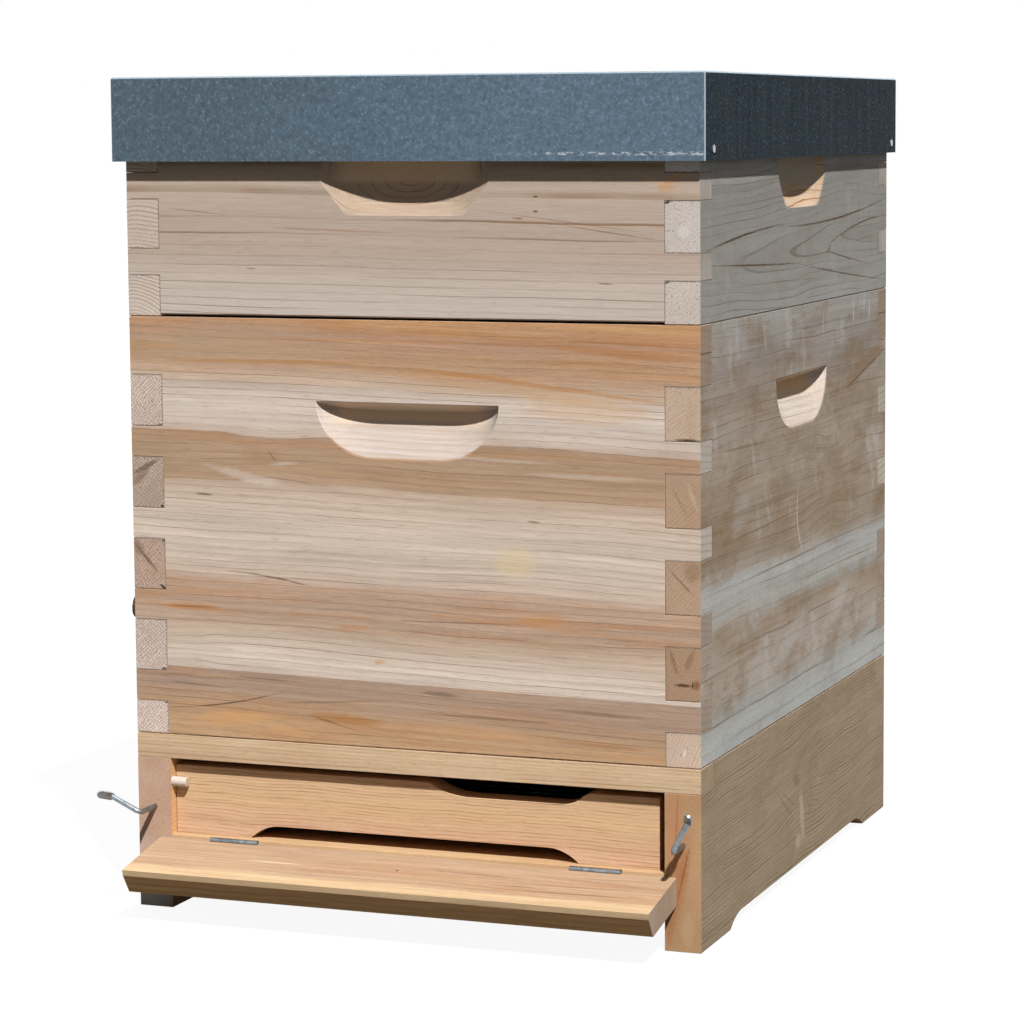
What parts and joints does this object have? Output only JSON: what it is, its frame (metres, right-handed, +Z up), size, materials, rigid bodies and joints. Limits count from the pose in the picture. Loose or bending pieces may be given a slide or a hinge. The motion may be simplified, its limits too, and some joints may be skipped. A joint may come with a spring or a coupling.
{
  "type": "dadant beehive",
  "caption": "Wooden dadant beehive with a finger-jointed brood box and honey super, a steel sheet roof, and a floor with a folding landing board and turn hooks.",
  "frame": {"origin": "On the ground under the middle of the boxes, between the four feet.", "axes": "+Z up, +X to the right seen from the entrance, -Y towards the entrance side."},
  "size_m": [0.4651, 0.5762, 0.6148],
  "materials": {
    "brood_wood": "planed softwood, unfinished, banded heartwood and sapwood",
    "super_wood": "planed softwood, unfinished, greyed",
    "floor_wood": "planed softwood, unfinished",
    "entrance_wood": "planed softwood, unfinished",
    "peg_wood": "turned hardwood dowel, unfinished",
    "frame_wood": "planed softwood, unfinished",
    "crown_wood": "planed boards and plywood, unfinished",
    "roof_paint": "blue-grey paint on steel sheet, fine orange peel, semi-matt",
    "rivet_steel": "plain steel",
    "zinc_steel": "zinc plated",
    "galvanised_sheet": "galvanised sheet and mesh"
  },
  "bodies": {
    "floor": {"floor_left_side": "floor_wood", "floor_right_side": "floor_wood", "floor_front_rail": "floor_wood", "floor_back_rail": "floor_wood", "floor_front_sill": "floor_wood", "floor_back_board": "floor_wood", "floor_mesh": "galvanised_sheet", "mesh_ledges": "floor_wood", "tray_runners": "floor_wood", "entrance_block": "entrance_wood", "hinge_fixed_leaf_left": "zinc_steel", "hinge_fixed_leaf_right": "zinc_steel", "hinge_pin_left": "zinc_steel", "hinge_pin_right": "zinc_steel"},
    "landing_board": {"landing_board": "entrance_wood", "hinge_moving_leaf_left": "zinc_steel", "hinge_moving_leaf_right": "zinc_steel"},
    "hook_left": {"hook_left": "zinc_steel"},
    "hook_right": {"hook_right": "zinc_steel"},
    "block_peg": {"block_peg": "peg_wood"},
    "tray": {"tray_pan": "galvanised_sheet", "tray_strip": "floor_wood"},
    "brood_box": {"brood_back": "brood_wood", "brood_frame_01": "frame_wood", "brood_frame_02": "frame_wood", "brood_frame_03": "frame_wood", "brood_frame_04": "frame_wood", "brood_frame_05": "frame_wood", "brood_frame_06": "frame_wood", "brood_frame_07": "frame_wood", "brood_frame_08": "frame_wood", "brood_frame_09": "frame_wood", "brood_frame_10": "frame_wood", "brood_frame_rests": "zinc_steel", "brood_front": "brood_wood", "brood_left": "brood_wood", "brood_right": "brood_wood"},
    "honey_super": {"super_back": "super_wood", "super_frame_01": "frame_wood", "super_frame_02": "frame_wood", "super_frame_03": "frame_wood", "super_frame_04": "frame_wood", "super_frame_05": "frame_wood", "super_frame_06": "frame_wood", "super_frame_07": "frame_wood", "super_frame_08": "frame_wood", "super_frame_09": "frame_wood", "super_frame_rests": "zinc_steel", "super_front": "super_wood", "super_left": "super_wood", "super_right": "super_wood"},
    "crown_board": {"crown_panel": "crown_wood", "crown_rim": "crown_wood", "feed_plug": "crown_wood"},
    "roof": {"roof_sheet": "roof_paint", "roof_rivets": "rivet_steel"}
  },
  "joints": [
    {"name": "landing_board_hinge", "type": "hinge", "parent": "floor", "child": "landing_board", "pos_m": [0, -0.2552, 0.0535], "axis": [-1, 0, 0], "range_deg": [0, 100.7]},
    {"name": "left_hook_turn", "type": "hinge", "parent": "floor", "child": "hook_left", "pos_m": [-0.2065, -0.255, 0.076], "axis": [0, 1, 0], "range_deg": [-45, 155]},
    {"name": "right_hook_turn", "type": "hinge", "parent": "floor", "child": "hook_right", "pos_m": [0.2065, -0.255, 0.076], "axis": [0, -1, 0], "range_deg": [-83, 117]},
    {"name": "peg_pull", "type": "slide", "parent": "floor", "child": "block_peg", "axis": [1, 0, 0], "range_m": [0, 0.03]},
    {"name": "tray_slide", "type": "slide", "parent": "floor", "child": "tray", "axis": [0, 1, 0], "range_m": [0, 0.42]},
    {"name": "brood_lift", "type": "slide", "parent": "floor", "child": "brood_box", "axis": [0, 0, 1], "range_m": [0, 0.4]},
    {"name": "super_lift", "type": "slide", "parent": "brood_box", "child": "honey_super", "axis": [0, 0, 1], "range_m": [0, 0.3]},
    {"name": "crown_lift", "type": "slide", "parent": "honey_super", "child": "crown_board", "axis": [0, 0, 1], "range_m": [0, 0.2]},
    {"name": "roof_lift", "type": "slide", "parent": "crown_board", "child": "roof", "axis": [0, 0, 1], "range_m": [0, 0.2]}
  ]
}
